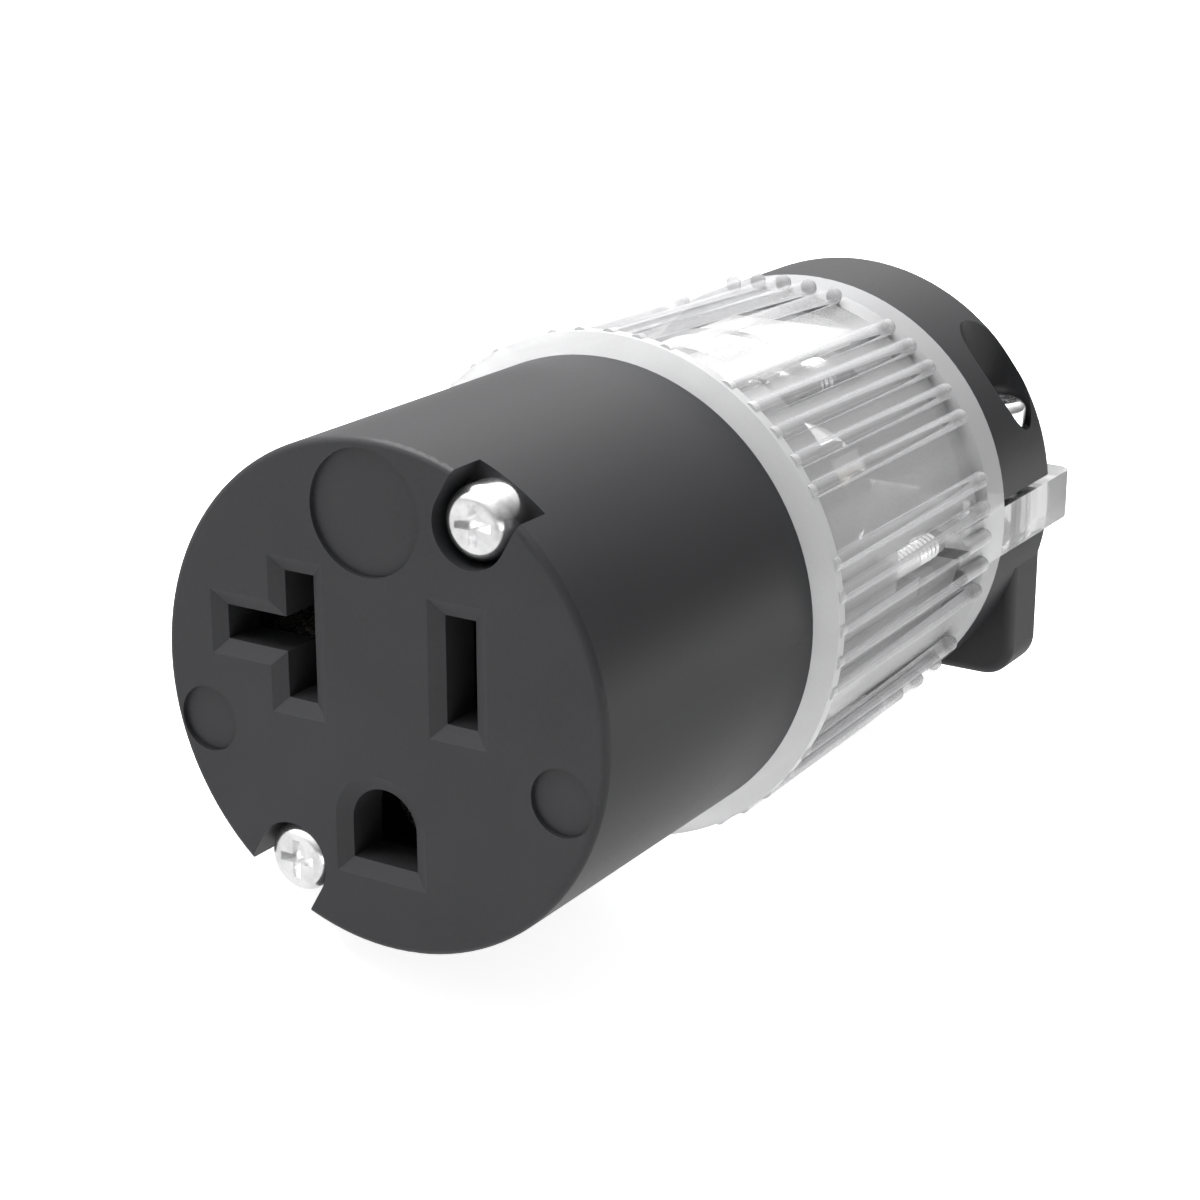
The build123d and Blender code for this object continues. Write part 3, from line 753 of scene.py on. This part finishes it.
@dataclass(frozen=True)
class Knurl:
    """A threaded insert with ridges round its outside and a groove round its middle.

    Attributes:
        node: The CAD node that it stands for.
        slot: Where its finish comes from.
        start: The first end of its axis.
        stop: The other end of its axis.
        outer: Its outside radius.
        inner: Its bore's radius.
        teeth: How many ridges it has.
    """

    node: str
    slot: Slot
    start: Vector
    stop: Vector
    outer: float
    inner: float
    teeth: int = 26

    def shape(self) -> Shape:
        """Build the sleeve from rings, each with a ridged or a plain outline."""
        run = self.stop - self.start
        turning = run.to_track_quat("Z", "Y").to_matrix()
        length = run.length
        tooth = 0.09 * self.outer
        lip = 0.15 * MM
        rings = [
            (0.0, self.inner + lip, 0.0),
            (0.0, self.outer - 2 * tooth, 0.0),
            (0.05, self.outer - tooth, 1.0),
            (0.4, self.outer - tooth, 1.0),
            (0.43, self.outer - 2 * tooth, 0.0),
            (0.57, self.outer - 2 * tooth, 0.0),
            (0.6, self.outer - tooth, 1.0),
            (0.95, self.outer - tooth, 1.0),
            (1.0, self.outer - 2 * tooth, 0.0),
            (1.0, self.inner + lip, 0.0),
            (0.97, self.inner, 0.0),
            (0.03, self.inner, 0.0),
        ]
        steps = 4 * self.teeth
        corners = []
        for share, radius, ridged in rings:
            for index in range(steps):
                angle = 2 * math.pi * index / steps
                wave = (0.0, 1.0, 1.0, 0.0)[index % 4]
                reach = radius + ridged * tooth * wave
                local = Vector((reach * math.cos(angle), reach * math.sin(angle), share * length))
                corners.append(self.start + turning @ local)
        faces = []
        for ring in range(len(rings)):
            after = (ring + 1) % len(rings)
            for index in range(steps):
                beside = (index + 1) % steps
                faces.append(
                    (
                        ring * steps + index,
                        ring * steps + beside,
                        after * steps + beside,
                        after * steps + index,
                    )
                )
        return Shape(f"{self.node}_knurled", self.slot, corners, faces, smooth=False)


@dataclass
class Fasteners:
    """Threads, ridged inserts and plate rims, which show through the clear housing.

    Attributes:
        wardrobe: The source of the finishes.
    """

    wardrobe: Wardrobe

    def thread(self, node: str, ends: tuple[Vector, Vector], radius: float, pitch: float) -> None:
        """Wind a thread on part of a screw.

        Args:
            node: The screw's node.
            ends: Where the thread starts and stops.
            radius: The shank's radius.
            pitch: The advance of one turn.
        """
        root, crest = radius - RIDGE_SINK, radius + RIDGE_HEIGHT
        ridge = Helix(f"{node}_thread", Slot.ZINC, *ends, root, crest, pitch)
        piece = ridge.shape().add(self.wardrobe)
        if "carrier" in node:
            # Painted light: the carrier screws' threads glow, standing for light that the hazy
            # wall keeps off them.
            piece.data.materials[0] = self.wardrobe.painted_glow_metal

    def knurl(self, node: str, ends: tuple[Vector, Vector], outer: float) -> None:
        """Put a ridged insert in the place of a plain one.

        Args:
            node: The insert's node.
            ends: The ends of its axis.
            outer: Its outside radius.
        """
        Knurl(node, Slot.INSERT, *ends, outer, INSERT_BORE).shape().add(self.wardrobe, node)

    def along(self, node: str, span: tuple[float, float] | None = None) -> tuple[Vector, Vector]:
        """Give two points on the middle line of a node that lies along Y.

        Args:
            node: The node.
            span: The two places on Y, or None for the node's own ends.

        Returns:
            The front point and the rear point.
        """
        low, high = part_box(node)
        front, rear = span or (low.y, high.y)
        middle = (low + high) / 2
        return Vector((middle.x, front, middle.z)), Vector((middle.x, rear, middle.z))

    def across(self, side: float, low: float, high: float) -> tuple[Vector, Vector]:
        """Give two points on the line of a clamp screw.

        Args:
            side: 1 for the right screw, -1 for the left.
            low: The lower height in millimetres, before the turn.
            high: The upper height in millimetres, before the turn.

        Returns:
            The lower point and the upper point.
        """
        x = side * CLAMP_SCREW_X_MM
        ends = (Vector((x, CLAMP_SCREW_Y_MM, height)) for height in (low, high))
        low_end, high_end = (TURN @ end * MM for end in ends)
        return low_end, high_end

    def build(self) -> None:
        """Add every thread, every ridged insert and every plate rim."""
        for side, name in ((1, "right"), (-1, "left")):
            node = f"carrier_screw_{name}"
            self.thread(node, self.along(node, CARRIER_THREAD), *CARRIER_SCREW)
            threaded = self.across(side, *CLAMP_THREAD_MM)
            self.thread(f"clamp_screw_{name}", threaded, *LONG_SCREW)
            sleeve = self.across(side, *CLAMP_INSERT_MM)
            self.knurl(f"clamp_insert_{name}", sleeve, CLAMP_INSERT_RADIUS)
        for name in ("upper", "lower"):
            node = f"assembly_screw_{name}"
            self.thread(node, self.along(node, ASSEMBLY_THREAD), *LONG_SCREW)
            insert = f"screw_insert_{name}"
            self.knurl(insert, self.along(insert), SCREW_INSERT_RADIUS)
        plates = {
            "hot": ((BLADE_PLATE_X_MM, PLATE_Y_MM, BLADE_PLATE_Z_MM), (1, 0, 0)),
            "neutral": ((-BLADE_PLATE_X_MM, PLATE_Y_MM, BLADE_PLATE_Z_MM), (-1, 0, 0)),
            "ground": ((0, PLATE_Y_MM, GROUND_PLATE_Z_MM), (0, 0, -1)),
        }
        for name, (centre, normal) in plates.items():
            rim = PlateRim(f"{name}_wire_clamp", Vector(centre) * MM, Vector(normal)).shape()
            # Painted light: the plate rims glow as well.
            rim.add(self.wardrobe).data.materials[0] = self.wardrobe.painted_glow_metal
        LOG.info("added threads, ridged inserts and plate rims")


@dataclass(frozen=True)
class PlateRim:
    """The pressed rim of a wire clamp plate, eight slanting facets round the screw head.

    Attributes:
        node: The plate's node.
        centre: The middle of the plate's outer face, before the turn.
        normal: The way that face looks, before the turn.
        half: Half the plate's width.
        corner: How much of each corner is cut off.
        height: How far the rim stands out.
    """

    node: str
    centre: Vector
    normal: Vector
    half: float = 3.7 * MM
    corner: float = 1.6 * MM
    height: float = 0.6 * MM

    def shape(self) -> Shape:
        """Build the rim from three rings: its foot, its crest and its inner foot."""
        side = Vector((0, 1, 0)).cross(self.normal)
        near = self.half - self.corner
        outline = [(self.half, near), (near, self.half), (-near, self.half), (-self.half, near)]
        outline += [(-u, -v) for u, v in outline]
        corners = []
        for scale, lift in ((0.99, 0.0), (0.77, 1.0), (0.74, 0.0)):
            for u, v in outline:
                flat = Vector((0, 1, 0)) * u * scale + side * v * scale
                corners.append(TURN @ (self.centre + flat + self.normal * self.height * lift))
        sides = len(outline)
        faces = []
        for ring in (0, sides):
            for index in range(sides):
                here, beside = ring + index, ring + (index + 1) % sides
                faces.append((here, beside, beside + sides, here + sides))
        return Shape(f"{self.node}_rim", Slot.PLATE, corners, faces, smooth=False)


def is_band(centre: Vector, normal: Vector) -> bool:
    """Tell whether a face lies on the rear band or on the rounded rear end of a rib."""
    radius = math.hypot(centre.x, centre.z)
    if radius > RIB_END_INNER and RIB_END_FRONT < centre.y < BAND_FRONT:
        return True
    on_ear = abs(centre.z) < EAR_REACH
    return radius > OUTSIDE and BAND_FRONT < centre.y < BAND_REAR and not on_ear


def is_frosted(centre: Vector, normal: Vector) -> bool:
    """Tell whether a face lies on the flange or on a step of the bore."""
    radius = math.hypot(centre.x, centre.z)
    if radius > OUTSIDE:
        return centre.y < FLANGE_LIMIT
    at_step = min(abs(centre.y - step) for step in BORE_STEPS) < 0.05 * MM
    return at_step and abs(normal.y) > 0.9 and radius > BORE_STEP_INNER


def is_ear(centre: Vector, normal: Vector) -> bool:
    """Tell whether a face lies on an ear behind the rear band."""
    return centre.y > BAND_REAR + 0.1 * MM


SPECIAL_FINISHES: tuple[tuple[Clear, Callable[[Vector, Vector], bool]], ...] = (
    (Clear("frosted_flange", (0.41, 0.41, 0.415), 0.88, 0.12, 0.5, speckle=0.08), is_frosted),
    # Painted shade: the rear band is the flange's frosted plastic, given a darker haze colour than
    # the flange.
    (Clear("frosted_band", (0.33, 0.33, 0.335), 0.78, 0.14, 0.5, speckle=0.08), is_band),
    (Clear("clear_ear", (0.9, 0.9, 0.905), 1.0, 0.0, 0.1, speckle=0.0, passing=0.8), is_ear),
)


def finish_housing(housing: bpy.types.Object) -> None:
    """Give the housing's flange, bore steps, rear band and ears their own finishes.

    Args:
        housing: The clear housing's object.
    """
    back = TURN.transposed()
    for index, (finish, test) in enumerate(SPECIAL_FINISHES, start=1):
        housing.data.materials.append(finish.make())
        count = 0
        for polygon in housing.data.polygons:
            if test(back @ polygon.center, back @ polygon.normal):
                polygon.material_index = index
                count += 1
        LOG.info("%s on %d faces", finish.name, count)


@dataclass(frozen=True)
class PhotoCamera:
    """The camera that took the photograph, as fitted to it.

    Attributes:
        place: Its position.
        forward: Its viewing direction.
        right: Its image's rightward direction.
        focal: Its focal length in pixels.
        image: The image's width in pixels.
    """

    place: Vector
    forward: Vector
    right: Vector
    focal: float = 2609.24
    image: float = 1200.0

    def add(self) -> bpy.types.Object:
        """Make the camera and set it as the scene's own."""
        data = bpy.data.cameras.new("photo_camera")
        data.sensor_width = 36.0
        data.lens = 36.0 * self.focal / self.image
        data.clip_start = 0.01
        forward = self.forward.normalized()
        right = (self.right - self.right.dot(forward) * forward).normalized()
        up = right.cross(forward)
        turning = Matrix((right, up, -forward)).transposed()
        camera = bpy.data.objects.new("photo_camera", data)
        camera.matrix_world = Matrix.Translation(self.place) @ turning.to_4x4()
        bpy.context.scene.collection.objects.link(camera)
        bpy.context.scene.camera = camera
        return camera


@dataclass(frozen=True)
class Lamp:
    """A soft square lamp aimed at the object.

    Attributes:
        name: The lamp's name.
        place: Where it hangs.
        size: The length of its side.
        power: Its power in watts.
    """

    name: str
    place: Vector
    size: float
    power: float

    def add(self, target: Vector) -> None:
        """Hang the lamp and aim it.

        Args:
            target: The point that it faces.
        """
        data = bpy.data.lights.new(self.name, "AREA")
        data.size = self.size
        data.energy = self.power
        lamp = bpy.data.objects.new(self.name, data)
        lamp.location = self.place
        lamp.rotation_euler = (target - self.place).to_track_quat("-Z", "Y").to_euler()
        bpy.context.scene.collection.objects.link(lamp)


@dataclass
class Studio:
    """The floor, the pale surroundings and the lamps.

    Attributes:
        ground: The height that the object rests on.
        target: The middle of the object.
        ambient: The strength of the surroundings as a light.
        gloss: Their strength in reflections.
        dusk: The share of that strength at the horizon, in reflections.
        bounce: The floor's own glow, which lights the object from below.
        sheen: The floor's brightness in reflections, near the object.
    """

    ground: float
    target: Vector
    ambient: float = 0.5
    gloss: float = 2.5
    dusk: float = 0.15
    bounce: float = 1.7
    sheen: float = 0.9

    def ray(self, graph: Graph, *kinds: str) -> Field:
        """Give 1 for rays of these kinds, and 0 for all others."""
        outputs = (f"Is {kind} Ray" for kind in kinds)
        first, *others = (graph.make("ShaderNodeLightPath", output=name) for name in outputs)
        return sum(others, first).ramp(0.0, 1.0)

    def floor(self) -> None:
        """Lay a wide, white floor, which keeps the object's shadow."""
        reach = 3.0
        signs = ((-1, -1), (1, -1), (1, 1), (-1, 1))
        corners = [(reach * x, reach * y, self.ground) for x, y in signs]
        mesh = bpy.data.meshes.new("studio_floor")
        mesh.from_pydata(corners, [], [(0, 1, 2, 3)])
        floor = bpy.data.objects.new("studio_floor", mesh)
        bpy.context.scene.collection.objects.link(floor)
        graph = Graph.material("studio_floor")
        diffuse = graph.make("ShaderNodeBsdfDiffuse", {"Color": (0.9, 0.9, 0.9, 1.0)})
        strength = self.ray(graph, "Camera", "Transmission").ramp(0.0, 1.0, self.bounce, 0.8)
        glow = graph.make("ShaderNodeEmission", {"Color": (1, 1, 1, 1), "Strength": strength})
        lit = graph.make("ShaderNodeAddShader", {0: diffuse, 1: glow})
        inputs = {0: graph.place()}
        away = graph.make("ShaderNodeVectorMath", inputs, output="Value", operation="LENGTH")
        sheen = away.ramp(0.08, 0.22, self.sheen, 0.6 * self.sheen)
        mirrored = graph.make("ShaderNodeEmission", {"Color": (1, 1, 1, 1), "Strength": sheen})
        factor = self.ray(graph, "Glossy")
        graph.make_output(graph.make("ShaderNodeMixShader", {0: factor, 1: lit, 2: mirrored}))
        mesh.materials.append(graph.owner)
        floor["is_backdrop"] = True

    def surroundings(self) -> None:
        """Light the scene softly from above and the left, with white behind everything."""
        world = bpy.data.worlds.new("studio_world")
        bpy.context.scene.world = world
        graph = Graph(world)
        view = graph.make("ShaderNodeTexCoord", output="Generated")
        across, tall = (graph.along(axis, view) for axis in ((1, 0, 0), (0, 0, 1)))
        glossy = self.ray(graph, "Glossy")
        right = glossy.ramp(0.0, 1.0, 0.8, 0.25)
        dusk = glossy.ramp(0.0, 1.0, 0.6, self.dusk)
        left = glossy.ramp(0.0, 1.0, 0.6, 1.0)
        soft = across.ramp(-0.3, 0.6, left, right) * tall.ramp(0.05, 0.75, dusk, 1.0)
        soft = soft + tall.ramp(0.0, -0.25, 0.0, 1.5)
        lit = soft * glossy.ramp(0.0, 1.0, self.ambient, self.gloss)
        seen = self.ray(graph, "Camera", "Transmission")
        strength = seen + (1.0 - seen) * lit
        inputs = {"Color": (1, 1, 1, 1), "Strength": strength}
        graph.make_output(graph.make("ShaderNodeBackground", inputs))

    def build(self, lamps: Iterable[Lamp]) -> None:
        """Set up the floor, the surroundings and the lamps.

        Args:
            lamps: The lamps to hang.
        """
        self.floor()
        self.surroundings()
        for lamp in lamps:
            lamp.add(self.target)


def main() -> None:
    """Dress the connector, add its details, and set up the picture."""
    logging.basicConfig(level=logging.INFO, format="%(name)s: %(message)s")
    cad_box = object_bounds()
    scene = bpy.context.scene
    scene.view_settings.view_transform = "Standard"

    wardrobe = Wardrobe({})
    wardrobe.dress_nodes(frame["nodes"], frame["record"])
    finish_housing(frame["nodes"]["clear_housing"])
    Fasteners(wardrobe).build()

    camera = PhotoCamera(
        place=TURN @ Vector((95.32, -125.45, 58.57)) * MM,
        forward=TURN @ Vector((-0.50343, 0.80540, -0.31286)),
        right=TURN @ Vector((0.84812, 0.52981, -0.00081)),
    )
    camera.add()
    low, high = cad_box
    studio = Studio(ground=low.z, target=(low + high) / 2)
    studio.build(
        [
            Lamp("key", TURN @ Vector((-0.12, 0.0, 0.66)), 0.6, 12.0),
            Lamp("fill", TURN @ Vector((-0.5, -0.6, 0.35)), 0.6, 1.8),
        ]
    )


if __name__ == "__main__":
    main()
